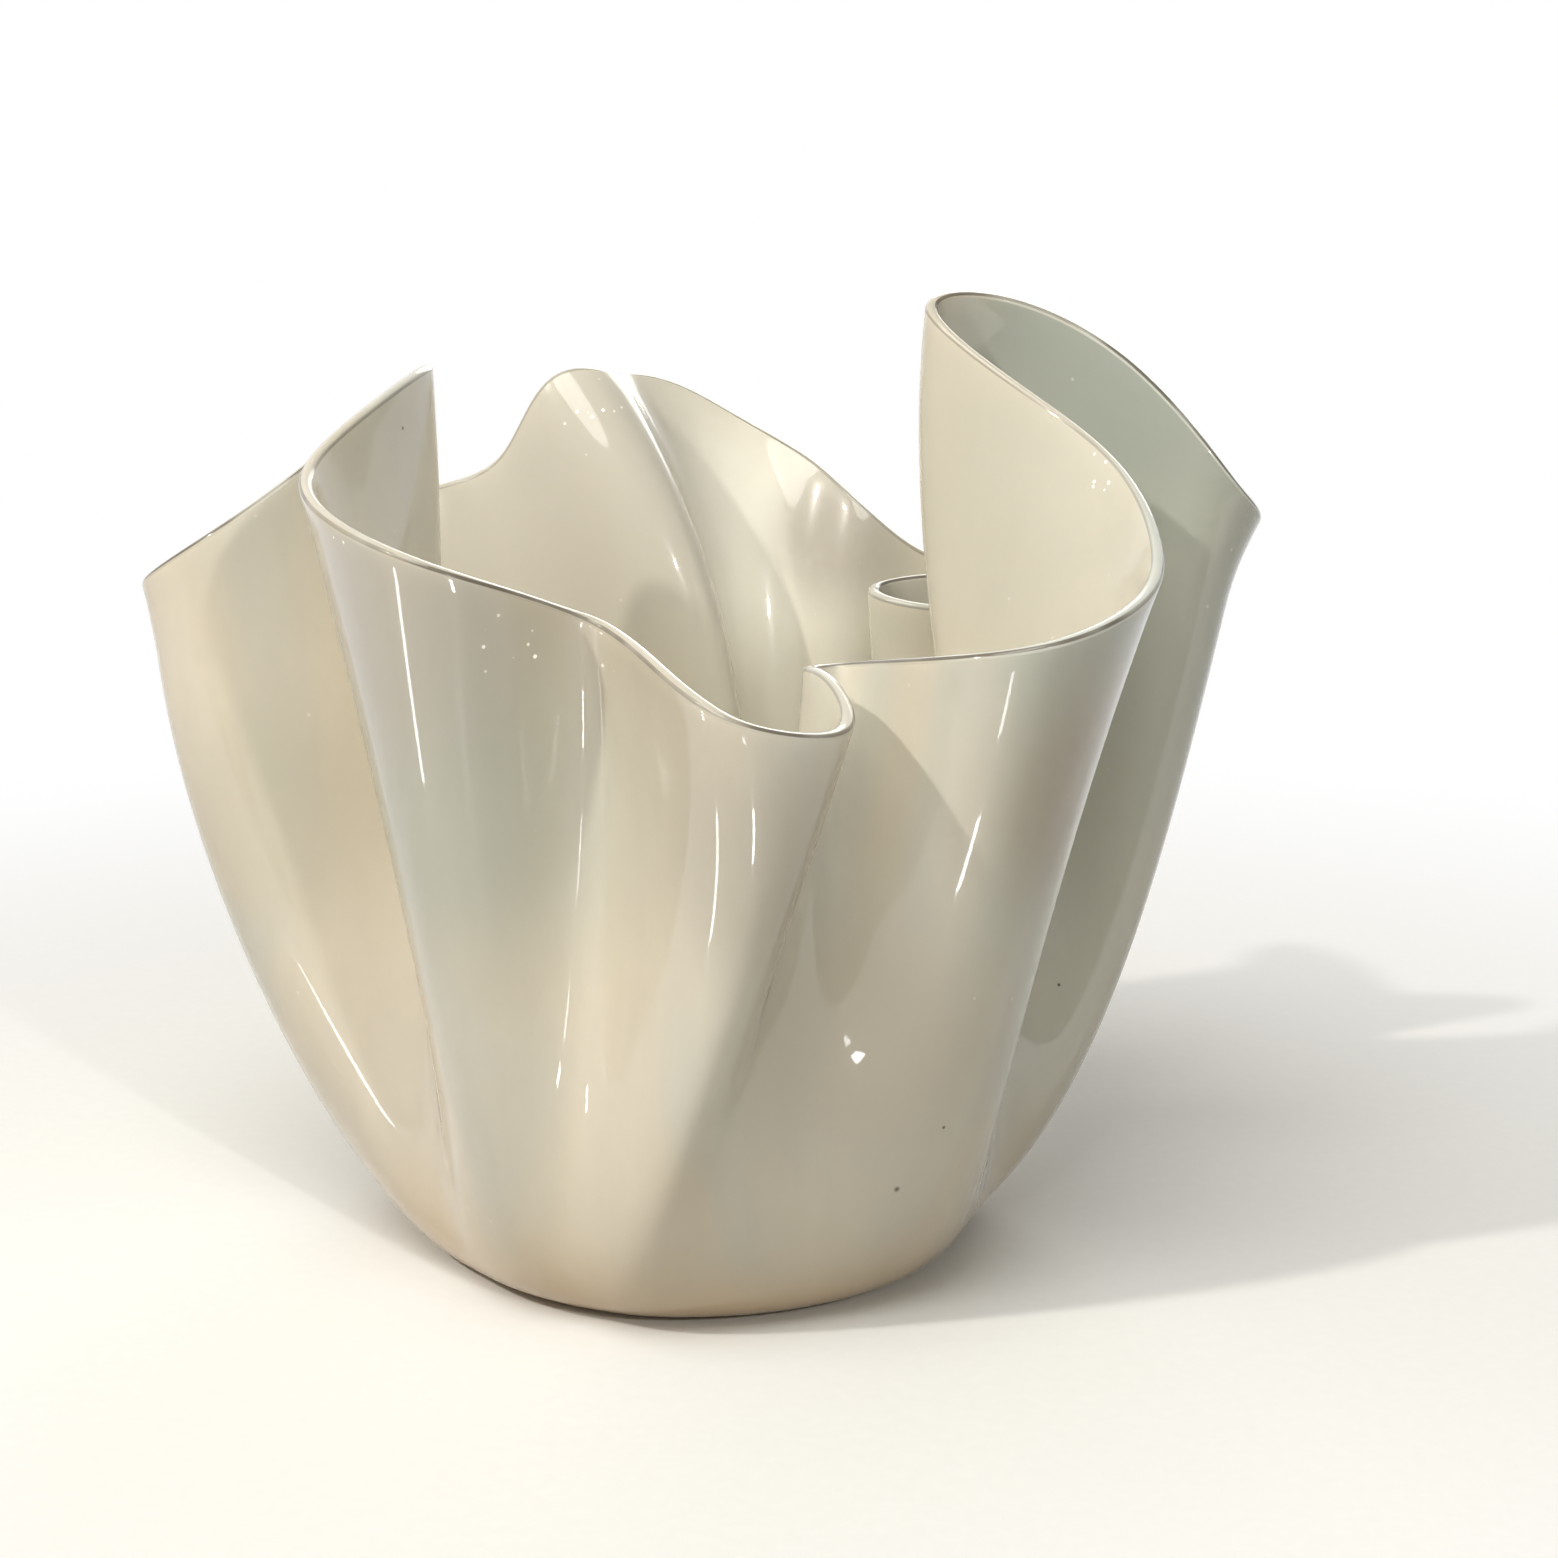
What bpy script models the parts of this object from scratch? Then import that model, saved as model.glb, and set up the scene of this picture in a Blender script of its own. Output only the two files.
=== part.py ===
"""Handkerchief vase: one piece of opal glass, blown, opened out and let fall into folds.

The wall is a closed family of ribs round the vase. Each rib rises from the flat foot, swells
over the haunch, leans through a point part-way up the wall and ends on the rim. Smooth closed
rings join the ribs, so the same numbers give the round foot and the deep folds at the rim.
The ribs draw the outer skin; the wall's thickness goes inward from it.

Bearings are in degrees seen from above: 0 is the front (-Y), 90 the right (+X), 180 the back.
The origin is the middle of the foot, on the surface that the vase stands on. Metres, +Z up.
"""
from math import comb, radians
from typing import NamedTuple

import bmesh
import bpy
import numpy as np

# Driving dimensions, in metres
WIDTH = 0.352
DEPTH = 0.285
HEIGHT = 0.293
FOOT_RADIUS = 0.072
FOOT_ROUNDING = 0.031
FLOOR_THICKNESS = 0.008
RIM_THICKNESS = 0.004
RIM_ROUNDING = 0.0017

# The size that the ribs below are drawn at, in millimetres
DRAWN_WIDTH = 352.0
DRAWN_DEPTH = 285.0
DRAWN_HEIGHT = 293.0

# How a rib rises: how high its haunch and shoulder are, as shares of its height, and how far up
# its course the through point lies
HAUNCH_SHARE = 0.2
SHOULDER_SHARE = 0.6
PASS_STEP = 0.75

# The part of the wall below the rim that turns out as a lip, as a share of the way up
LIP_START = 0.92

# Fineness of the mesh
COLUMNS = 140
ROWS = 12
FOOT_RINGS = (0.62, 0.28)
# A full turn of the rim takes as many columns as this length of straight rim
TURN_AS_LENGTH = 0.2

# Opal glass, cased in clear
GLASS_COLOUR = (0.80, 0.785, 0.72, 1.0)
GLASS_ROUGHNESS = 0.09
GLASS_METALLIC = 0.0


class Rib(NamedTuple):
    """One rib of the wall: bearing at the foot, radius at the haunch, the plan point that it
    passes through, how far its lip turns out, and its end on the rim, in millimetres."""

    bearing: float
    haunch: float
    through: tuple
    lip: float
    rim: tuple


RIBS = (
    # Front fold, a narrow hook that is open towards the front
    Rib(12, 111, (31, -96), 0, (37, -74, 194)),
    Rib(16, 110, (38, -91), 0, (43, -68, 194)),
    Rib(21, 110, (48, -91), 0, (52, -76, 196)),
    # Front right lobe
    Rib(31, 111, (68, -98), 0, (73, -99, 201)),
    Rib(39, 111, (87, -97), 0, (103, -104, 206)),
    Rib(47, 112, (103, -82), 0, (130, -76, 214)),
    Rib(53, 111, (110, -64), 0, (137, -50, 224)),
    Rib(60, 112, (106, -36), 0, (128, -12, 245)),
    Rib(67, 115, (90, 4), 0, (94, 20, 271)),
    # Right fold, the highest point of the rim
    Rib(74, 120, (80, 24), 0, (76, 38, 290)),
    # Right lobe, with a small turned-out lip at its tip
    Rib(80, 127, (94, 34), 0, (99, 50, 291)),
    Rib(86, 134, (124, 28), 0, (143, 38, 266)),
    Rib(92, 138, (148, 20), 3, (169, 31, 233)),
    Rib(97, 138, (155, 33), 5, (176, 45, 221)),
    Rib(103, 131, (140, 55), 3, (162, 66, 208)),
    Rib(110, 119, (113, 64), 0, (120, 72, 195)),
    # Small fold at the back right
    Rib(118, 112, (87, 66), 0, (80, 69, 190)),
    Rib(123, 110, (71, 70), 0, (62, 73, 193)),
    Rib(127, 109, (68, 77), 0, (61, 84, 195)),
    Rib(132, 110, (79, 86), 0, (82, 91, 197)),
    # Small lobe at the back right
    Rib(138, 113, (94, 94), 0, (118, 97, 197)),
    Rib(143, 114, (91, 107), 0, (122, 114, 196)),
    Rib(150, 112, (66, 108), 0, (84, 119, 198)),
    # Back lobe
    Rib(155, 111, (46, 101), 0, (57, 121, 215)),
    Rib(160, 112, (32, 109), 0, (40, 136, 229)),
    Rib(166, 113, (17, 109), 0, (12, 145, 244)),
    Rib(171, 112, (7, 103), 0, (-15, 143, 257)),
    # Back fold, which leans to the right on its way down
    Rib(175, 110, (6, 90), 0, (-31, 129, 260)),
    Rib(180, 110, (6, 78), 0, (-33, 113, 261)),
    Rib(186, 111, (-13, 78), 0, (-49, 103, 262)),
    # Left lobe, reaching from the back to the left tip
    Rib(196, 113, (-44, 91), 0, (-67, 104, 236)),
    Rib(214, 117, (-81, 90), 0, (-93, 100, 225)),
    Rib(242, 120, (-128, 60), 0, (-140, 62, 212)),
    Rib(268, 126, (-157, 12), 3, (-170, 17, 205)),
    Rib(281, 121, (-142, -6), 2, (-153, 4, 218)),
    Rib(295, 113, (-112, -4), 0, (-122, 12, 240)),
    # Left fold
    Rib(307, 107, (-84, 8), 0, (-85, 20, 271)),
    Rib(316, 107, (-88, -36), 0, (-102, -32, 258)),
    # Front lobe, a broad tongue with a hollow down its middle
    Rib(323, 109, (-88, -68), 0, (-108, -70, 243)),
    Rib(329, 110, (-69, -96), 0, (-75, -112, 230)),
    Rib(334, 112, (-48, -94), 0, (-44, -104, 219)),
    Rib(339, 114, (-29, -86), 0, (-26, -93, 210)),
    Rib(343, 116, (-12, -103), 0, (-11, -113, 203)),
    Rib(347, 116, (6, -127), 0, (11, -138, 192)),
    Rib(352, 115, (19, -127), 0, (39, -128, 185)),
    Rib(358, 114, (24, -117), 0, (47, -112, 187)),
    Rib(365, 112, (26, -106), 0, (41, -89, 194)),
)


def clear_scene():
    """Remove the objects that the file opened with."""
    for thing in list(bpy.data.objects):
        bpy.data.objects.remove(thing, do_unlink=True)


def rise_weights(step):
    """The share of each of a rib's five control points at a step from the foot (0) to the rim (1)."""
    return np.array([comb(4, i) * (1 - step) ** (4 - i) * step**i for i in range(5)])


def rib_stations():
    """Where each rib sits along the closed rings, from 0 to 1: closer where the rim's ribs are."""
    rim = np.array([rib.rim for rib in RIBS], dtype=float)
    gaps = np.sqrt(np.linalg.norm(np.roll(rim, -1, axis=0) - rim, axis=1))
    return np.concatenate([[0.0], np.cumsum(gaps)[:-1]]) / gaps.sum()


def closed_spline(values, at):
    """A smooth closed curve through one value per rib, read at places from 0 to 1."""
    stations = rib_stations()
    held = np.array(values, dtype=float).reshape(len(RIBS), -1)
    held = np.vstack([held, held[:1]])
    ends = np.append(stations, 1.0)
    spans = np.diff(ends)
    rates = np.diff(held, axis=0) / spans[:, None]
    matrix = np.zeros((len(RIBS), len(RIBS)))
    wanted = np.zeros_like(rates)
    for i in range(len(RIBS)):
        before, after = spans[i - 1], spans[i]
        matrix[i, i - 1] += after
        matrix[i, i] += 2.0 * (before + after)
        matrix[i, (i + 1) % len(RIBS)] += before
        wanted[i] = 3.0 * (after * rates[i - 1] + before * rates[i])
    slopes = np.linalg.solve(matrix, wanted)
    slopes = np.vstack([slopes, slopes[:1]])
    piece = np.clip(np.searchsorted(ends, at, side="right") - 1, 0, len(RIBS) - 1)
    span = spans[piece][:, None]
    t = (at - ends[piece])[:, None] / span
    start = (1 + 2 * t) * (1 - t) ** 2 * held[piece] + t * (1 - t) ** 2 * span * slopes[piece]
    end = t**2 * (3 - 2 * t) * held[piece + 1] + t**2 * (t - 1) * span * slopes[piece + 1]
    return start + end


def outward_at(places):
    """The level direction from the axis, at the bearing that the foot has there."""
    ahead = np.array([rib.bearing for rib in RIBS]) - 360.0 * rib_stations()
    bearing = np.radians(closed_spline(ahead, places)[:, 0] + 360.0 * places)
    return np.stack([np.sin(bearing), -np.cos(bearing), np.zeros(len(places))], axis=1)


def wall_points(places, steps):
    """Points of the outer skin, one row of them per step, at places round the closed rings."""
    size = np.array([WIDTH / DRAWN_WIDTH, DEPTH / DRAWN_DEPTH, HEIGHT / DRAWN_HEIGHT])
    outward = outward_at(places)
    rim = closed_spline([rib.rim for rib in RIBS], places) * size
    through = closed_spline([rib.through for rib in RIBS], places) * size[:2]
    lip = np.clip(closed_spline([rib.lip for rib in RIBS], places), 0.0, None) * size[0]
    foot = FOOT_RADIUS * outward
    rounding = (FOOT_RADIUS + FOOT_ROUNDING) * outward
    haunch = closed_spline([rib.haunch for rib in RIBS], places) * outward * size
    haunch[:, 2] = HAUNCH_SHARE * rim[:, 2]
    # The shoulder is placed so that the wall passes through the ribs' own plan points
    share = rise_weights(PASS_STEP)
    others = share[0] * foot + share[1] * rounding + share[2] * haunch + share[4] * rim
    shoulder = np.zeros_like(rim)
    shoulder[:, :2] = (through - others[:, :2]) / share[3]
    shoulder[:, 2] = SHOULDER_SHARE * rim[:, 2]
    rows = []
    for step in steps:
        rise = zip(rise_weights(step), (foot, rounding, haunch, shoulder, rim))
        over_lip = max(0.0, (step - LIP_START) / (1.0 - LIP_START)) ** 2
        rows.append(sum(weight * ring for weight, ring in rise) + over_lip * lip * outward)
    return rows


def column_places():
    """Where the mesh's columns stand: close together where the rim turns tightly."""
    fine = np.linspace(0.0, 1.0, 4000, endpoint=False)
    rim = wall_points(fine, [1.0])[0]
    along = np.roll(rim, -1, axis=0) - rim
    length = np.linalg.norm(along, axis=1)
    heading = along / length[:, None]
    turn = np.arccos(np.clip(np.sum(heading * np.roll(heading, -1, axis=0), axis=1), -1.0, 1.0))
    worth = np.concatenate([[0.0], np.cumsum(length + turn / radians(360.0) * TURN_AS_LENGTH)])
    evenly = np.linspace(0.0, worth[-1], COLUMNS, endpoint=False)
    return np.interp(evenly, worth, np.append(fine, 1.0))


def outer_skin():
    """The vase's outer skin as a mesh: the flat foot and the folded wall, open at the rim."""
    steps = np.linspace(0.0, 1.0, ROWS + 1)
    rows = wall_points(column_places(), steps)
    foot_rows = [rows[0] * share for share in reversed(FOOT_RINGS)]
    skin = bmesh.new()
    centre = skin.verts.new((0.0, 0.0, 0.0))
    loops = [[skin.verts.new(point) for point in row] for row in foot_rows + rows]
    for i in range(COLUMNS):
        after = (i + 1) % COLUMNS
        skin.faces.new((centre, loops[0][after], loops[0][i]))
        for low, high in zip(loops, loops[1:]):
            skin.faces.new((low[i], low[after], high[after], high[i]))
    mesh = bpy.data.meshes.new("vase")
    skin.to_mesh(mesh)
    skin.free()
    # How thick the wall is at each point: full at the foot, thinning towards the rim
    foot_points = 1 + len(FOOT_RINGS) * COLUMNS
    share = [1.0] * foot_points + [(1.0 - step) ** 2 for step in steps for _ in range(COLUMNS)]
    return mesh, share


def glass_material():
    """Glossy opal glass."""
    material = bpy.data.materials.new("opal_glass")
    material.use_nodes = True
    shader = material.node_tree.nodes["Principled BSDF"]
    shader.inputs["Base Color"].default_value = GLASS_COLOUR
    shader.inputs["Roughness"].default_value = GLASS_ROUGHNESS
    shader.inputs["Metallic"].default_value = GLASS_METALLIC
    return material


def build_vase():
    """The vase: the outer skin, thickened inward, with a fire-polished rim."""
    mesh, share = outer_skin()
    vase = bpy.data.objects.new("vase", mesh)
    bpy.context.scene.collection.objects.link(vase)
    mesh.materials.append(glass_material())
    mesh.shade_smooth()
    thick = vase.vertex_groups.new(name="wall_thickness")
    for index, weight in enumerate(share):
        thick.add([index], weight, "REPLACE")
    wall = vase.modifiers.new("Wall", "SOLIDIFY")
    wall.thickness = FLOOR_THICKNESS
    wall.offset = -1.0
    wall.vertex_group = thick.name
    wall.thickness_vertex_group = RIM_THICKNESS / FLOOR_THICKNESS
    rim = vase.modifiers.new("Rim", "BEVEL")
    rim.width = RIM_ROUNDING
    rim.segments = 2
    rim.limit_method = "ANGLE"
    rim.angle_limit = radians(65.0)
    rim.miter_outer = "MITER_SHARP"
    return vase


clear_scene()
build_vase()
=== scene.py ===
"""A handkerchief vase of white opal glass, cased in clear, standing on a pale studio floor."""
import math
from collections import namedtuple

import bpy
import numpy as np
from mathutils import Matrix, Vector


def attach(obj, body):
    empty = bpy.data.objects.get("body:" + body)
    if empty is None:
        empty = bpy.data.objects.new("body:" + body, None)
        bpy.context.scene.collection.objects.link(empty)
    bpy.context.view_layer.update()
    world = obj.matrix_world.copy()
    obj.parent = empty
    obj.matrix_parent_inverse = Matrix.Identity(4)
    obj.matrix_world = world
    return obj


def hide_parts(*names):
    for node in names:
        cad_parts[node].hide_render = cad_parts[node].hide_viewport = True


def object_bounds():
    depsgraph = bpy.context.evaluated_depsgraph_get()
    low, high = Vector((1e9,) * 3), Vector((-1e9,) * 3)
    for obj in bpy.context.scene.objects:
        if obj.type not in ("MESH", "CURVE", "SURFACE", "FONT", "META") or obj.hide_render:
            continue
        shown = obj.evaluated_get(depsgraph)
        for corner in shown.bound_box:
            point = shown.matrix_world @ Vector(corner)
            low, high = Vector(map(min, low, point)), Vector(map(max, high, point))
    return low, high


bl_info = {
    "name": "Handkerchief Vase",
    "version": (1, 0, 0),
    "blender": (4, 5, 0),
    "location": "View3D > Sidebar > Vase",
    "description": "Blows a folded opal glass vase and sets it in a pale studio",
    "category": "Object",
}

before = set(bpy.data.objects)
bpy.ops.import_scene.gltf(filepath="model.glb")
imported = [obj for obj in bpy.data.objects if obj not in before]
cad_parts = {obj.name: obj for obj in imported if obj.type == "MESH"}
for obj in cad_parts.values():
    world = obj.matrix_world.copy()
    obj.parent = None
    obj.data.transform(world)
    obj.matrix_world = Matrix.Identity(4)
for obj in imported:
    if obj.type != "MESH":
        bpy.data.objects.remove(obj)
CAD_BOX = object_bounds()

MM = 0.001

# Shape of the wall, in millimetres, as the solid model has it
FOOT_RADIUS = 72.0
FOOT_ROUNDING = 31.0
HAUNCH_SHARE = 0.2
SHOULDER_SHARE = 0.6
PASS_STEP = 0.75
LIP_START = 0.92
FOOT_RINGS = (0.93, 0.8, 0.55, 0.28)
RIM_ARC_STEPS = 5

# How finely the wall is read: nudges along it for its slopes, places tried round it, and how many
# millimetres of rim a full turn is worth when the columns are spread
STEP_NUDGE = 0.002
PLACE_NUDGE = 0.00005
NEAR_RIM = 0.995
PLACES_TRIED = 6000
TURN_AS_LENGTH = 200.0

# Each rib: bearing at the foot, radius at the haunch, the plan point that it passes through,
# how far its lip turns out, and its end on the rim. Bearing 0 is the front, 90 the right.
RIBS = (
    # Front fold, a narrow hook that is open towards the front
    (12, 111, (31, -96), 0, (37, -74, 194)),
    (16, 110, (38, -91), 0, (43, -68, 194)),
    (21, 110, (48, -91), 0, (52, -76, 196)),
    # Front right lobe
    (31, 111, (68, -98), 0, (73, -99, 201)),
    (39, 111, (87, -97), 0, (103, -104, 206)),
    (47, 112, (103, -82), 0, (130, -76, 214)),
    (53, 111, (110, -64), 0, (137, -50, 224)),
    (60, 112, (106, -36), 0, (128, -12, 245)),
    (67, 115, (90, 4), 0, (94, 20, 271)),
    # Right fold, the highest point of the rim
    (74, 120, (80, 24), 0, (76, 38, 290)),
    # Right lobe, with a small turned-out lip at its tip
    (80, 127, (94, 34), 0, (99, 50, 291)),
    (86, 134, (124, 28), 0, (143, 38, 266)),
    (92, 138, (148, 20), 3, (169, 31, 233)),
    (97, 138, (155, 33), 5, (176, 45, 221)),
    (103, 131, (140, 55), 3, (162, 66, 208)),
    (110, 119, (113, 64), 0, (120, 72, 195)),
    # Small fold at the back right
    (118, 112, (87, 66), 0, (80, 69, 190)),
    (123, 110, (71, 70), 0, (62, 73, 193)),
    (127, 109, (68, 77), 0, (61, 84, 195)),
    (132, 110, (79, 86), 0, (82, 91, 197)),
    # Small lobe at the back right
    (138, 113, (94, 94), 0, (118, 97, 197)),
    (143, 114, (91, 107), 0, (122, 114, 196)),
    (150, 112, (66, 108), 0, (84, 119, 198)),
    # Back lobe
    (155, 111, (46, 101), 0, (57, 121, 215)),
    (160, 112, (32, 109), 0, (40, 136, 229)),
    (166, 113, (17, 109), 0, (12, 145, 244)),
    (171, 112, (7, 103), 0, (-15, 143, 257)),
    # Back fold, which leans to the right on its way down
    (175, 110, (6, 90), 0, (-31, 129, 260)),
    (180, 110, (6, 78), 0, (-33, 113, 261)),
    (186, 111, (-13, 78), 0, (-49, 103, 262)),
    # Left lobe, reaching from the back to the left tip
    (196, 113, (-44, 91), 0, (-67, 104, 236)),
    (214, 117, (-81, 90), 0, (-93, 100, 225)),
    (242, 120, (-128, 60), 0, (-140, 62, 212)),
    (268, 126, (-157, 12), 3, (-170, 17, 205)),
    (281, 121, (-142, -6), 2, (-153, 4, 218)),
    (295, 113, (-112, -4), 0, (-122, 12, 240)),
    # Left fold
    (307, 107, (-84, 8), 0, (-85, 20, 271)),
    (316, 107, (-88, -36), 0, (-102, -32, 258)),
    # Front lobe, a broad tongue with a hollow down its middle
    (323, 109, (-88, -68), 0, (-108, -70, 243)),
    (329, 110, (-69, -96), 0, (-75, -112, 230)),
    (334, 112, (-48, -94), 0, (-44, -104, 219)),
    (339, 114, (-29, -86), 0, (-26, -93, 210)),
    (343, 116, (-12, -103), 0, (-11, -113, 203)),
    (347, 116, (6, -127), 0, (11, -138, 192)),
    (352, 115, (19, -127), 0, (39, -128, 185)),
    (358, 114, (24, -117), 0, (47, -112, 187)),
    (365, 112, (26, -106), 0, (41, -89, 194)),
)

# Soft patches of painted light and shade laid into the glass's colour, and one small dark speck, in
# metres
Patch = namedtuple("Patch", "centre reach colour amount")
OUTSIDE_PAINTED_SHADE_AND_SPECK = (
    # Painted shade in the hollow of the front lobe, greyer where it turns away from the light
    Patch((-0.068, -0.100, 0.160), 0.075, (0.53, 0.55, 0.48), 0.85),
    Patch((-0.088, -0.098, 0.205), 0.060, (0.56, 0.53, 0.47), 0.8),
    # Painted shade on the top of the right fold's outer wall
    Patch((0.128, 0.044, 0.272), 0.075, (0.42, 0.45, 0.40), 0.9),
    # Painted shade on the ridge of the front lobe and on the wall to its right
    Patch((0.024, -0.134, 0.150), 0.050, (0.54, 0.50, 0.42), 0.8),
    Patch((0.050, -0.094, 0.090), 0.055, (0.60, 0.55, 0.45), 0.8),
    # Painted shade on the edge of the front right lobe, and a painted shadow of the front lobe on the
    # side of the left lobe
    Patch((0.114, -0.085, 0.160), 0.050, (0.44, 0.38, 0.30), 0.8),
    Patch((-0.133, -0.008, 0.135), 0.050, (0.60, 0.56, 0.45), 0.6),
    # A speck low on the front
    Patch((0.060, -0.090, 0.044), 0.0014, (0.16, 0.12, 0.08), 1.0),
)
INSIDE_PAINTED_LIGHT_AND_SHADE = (
    # The back lobe: a painted pool of light beside its fold, and a painted shadow of the right fold to
    # its right
    Patch((0.006, 0.120, 0.205), 0.060, (0.98, 0.95, 0.84), 1.0),
    Patch((0.048, 0.118, 0.206), 0.036, (0.48, 0.44, 0.38), 0.8),
    # Painted shade on the back fold and on the right fold
    Patch((-0.040, 0.084, 0.220), 0.080, (0.64, 0.60, 0.52), 0.8),
    Patch((0.100, 0.000, 0.230), 0.070, (0.66, 0.63, 0.54), 0.6),
)

# Clusters of painted glints near the rim, where bubbles are whitened and made to glow: centre and
# reach, in metres
OUTSIDE_GLINTS = (
    ((-0.045, -0.101, 0.203), 0.019),
    ((-0.025, -0.092, 0.205), 0.015),
    ((-0.097, -0.092, 0.237), 0.019),
)
INSIDE_GLINTS = (((-0.038, 0.092, 0.250), 0.018), ((0.124, -0.016, 0.242), 0.014))
GLINT_DENSITY = 0.6

# Bubbles and specks in the glass, how strongly the bubbles whiten it, and the glow of the painted
# glints
BUBBLE_COLOUR = (0.95, 0.94, 0.9)
BUBBLE_STRENGTH = 0.35
GLINT_GLOW = (0.6, 0.57, 0.5)
SPECK_COLOUR = (0.16, 0.13, 0.1)
SPECK_DENSITY = 0.0012

# Painted warm reflection of bounce light near the foot: the share of the height at which it ends, and
# how much of it the inside takes
FOOT_REFLECTION_HEIGHT = 0.42
INSIDE_FOOT_REFLECTION = 0.15

# The ripples left by blowing: noise scales, and the depth of the relief in metres
OUTSIDE_RIPPLE = 16.0
INSIDE_RIPPLE = 14.0
RIPPLE_DEPTH = 0.0022
RIPPLE_STRENGTH = 0.35

# The rim's clouds and glow, and its dark line and inner edge as shares across the rim
RIM_CLOUDINESS = 0.5
RIM_GLOW = 0.15
DARK_LINE = (0.02, 0.07, 0.2, 0.3)
INNER_EDGE = (0.9, 0.97)
INNER_EDGE_STRENGTH = 0.4

# The studio: what the lamps face, the paper's colours, bounce and sizes, and the soft light's colours
AIM = (0.0, 0.0, 0.15)
PAPER_COLOURS = ((0.86, 0.86, 0.85), (0.9, 0.9, 0.89))
PAPER_BOUNCE = (0.34, 0.3, 0.24)
PAPER_WIDTH = 4.0
PAPER_FRONT = -2.5
PAPER_BACK = 2.2
PAPER_BEND = 1.0
PAPER_TOP = 3.5
AMBIENT_LEFT = (1.0, 0.96, 0.88)
AMBIENT_RIGHT = (0.26, 0.28, 0.27)
WHITE = (1.0, 1.0, 1.0, 1.0)
BLACK = (0.0, 0.0, 0.0, 1.0)


# The wall's shape

def rise_weights(step):
    """The share of each of a rib's five control points at steps from the foot (0) to the rim (1)."""
    step = np.asarray(step, dtype=float)[..., None]
    return [math.comb(4, i) * (1 - step) ** (4 - i) * step**i for i in range(5)]


def rib_stations():
    """Where each rib sits along the closed rings, from 0 to 1."""
    rim = np.array([rib[4] for rib in RIBS], dtype=float)
    gaps = np.sqrt(np.linalg.norm(np.roll(rim, -1, axis=0) - rim, axis=1))
    return np.concatenate([[0.0], np.cumsum(gaps)[:-1]]) / gaps.sum()


def closed_spline(values, at):
    """A smooth closed curve through one value per rib, read at places from 0 to 1."""
    stations = rib_stations()
    count = len(RIBS)
    held = np.array(values, dtype=float).reshape(count, -1)
    held = np.vstack([held, held[:1]])
    ends = np.append(stations, 1.0)
    spans = np.diff(ends)
    rates = np.diff(held, axis=0) / spans[:, None]
    matrix = np.zeros((count, count))
    wanted = np.zeros_like(rates)
    for i in range(count):
        before, after = spans[i - 1], spans[i]
        matrix[i, i - 1] += after
        matrix[i, i] += 2.0 * (before + after)
        matrix[i, (i + 1) % count] += before
        wanted[i] = 3.0 * (after * rates[i - 1] + before * rates[i])
    slopes = np.linalg.solve(matrix, wanted)
    slopes = np.vstack([slopes, slopes[:1]])
    at = np.mod(at, 1.0)
    piece = np.clip(np.searchsorted(ends, at, side="right") - 1, 0, count - 1)
    span = spans[piece][:, None]
    t = (at - ends[piece])[:, None] / span
    start = (1 + 2 * t) * (1 - t) ** 2 * held[piece] + t * (1 - t) ** 2 * span * slopes[piece]
    end = t**2 * (3 - 2 * t) * held[piece + 1] + t**2 * (t - 1) * span * slopes[piece + 1]
    return start + end


class Wall:
    """The outer skin of the vase as a surface: places go round the rings, steps go up the ribs."""

    def __init__(self, places):
        ahead = np.array([rib[0] for rib in RIBS]) - 360.0 * rib_stations()
        bearing = np.radians(closed_spline(ahead, places)[:, 0] + 360.0 * places)
        self.outward = np.stack([np.sin(bearing), -np.cos(bearing), np.zeros(len(places))], axis=1)
        self.rim = closed_spline([rib[4] for rib in RIBS], places)
        self.lip = np.clip(closed_spline([rib[3] for rib in RIBS], places), 0.0, None)
        self.foot = FOOT_RADIUS * self.outward
        self.rounding = (FOOT_RADIUS + FOOT_ROUNDING) * self.outward
        self.haunch = closed_spline([rib[1] for rib in RIBS], places) * self.outward
        self.haunch[:, 2] = HAUNCH_SHARE * self.rim[:, 2]
        share = rise_weights(PASS_STEP)
        others = share[0] * self.foot + share[1] * self.rounding + share[2] * self.haunch
        others = others + share[4] * self.rim
        through = closed_spline([rib[2] for rib in RIBS], places)
        self.shoulder = np.zeros_like(self.rim)
        self.shoulder[:, :2] = (through - others[:, :2]) / share[3]
        self.shoulder[:, 2] = SHOULDER_SHARE * self.rim[:, 2]

    def point(self, step):
        """One point per place, in millimetres, at a step for each place."""
        step = np.broadcast_to(step, len(self.rim))
        controls = (self.foot, self.rounding, self.haunch, self.shoulder, self.rim)
        points = sum(weight * ring for weight, ring in zip(rise_weights(step), controls))
        over_lip = np.clip((step - LIP_START) / (1.0 - LIP_START), 0.0, None)[:, None] ** 2
        return points + over_lip * self.lip * self.outward


def unit(vectors):
    return vectors / np.linalg.norm(vectors, axis=-1, keepdims=True)


def wall_normals(before, after, wall, step):
    """Outward unit normals at a step, from neighbouring places and steps."""
    along = after.point(step) - before.point(step)
    above = wall.point(np.minimum(step + STEP_NUDGE, 1.0))
    upward = above - wall.point(np.maximum(step - STEP_NUDGE, 0.0))
    return unit(np.cross(along, upward))


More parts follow.
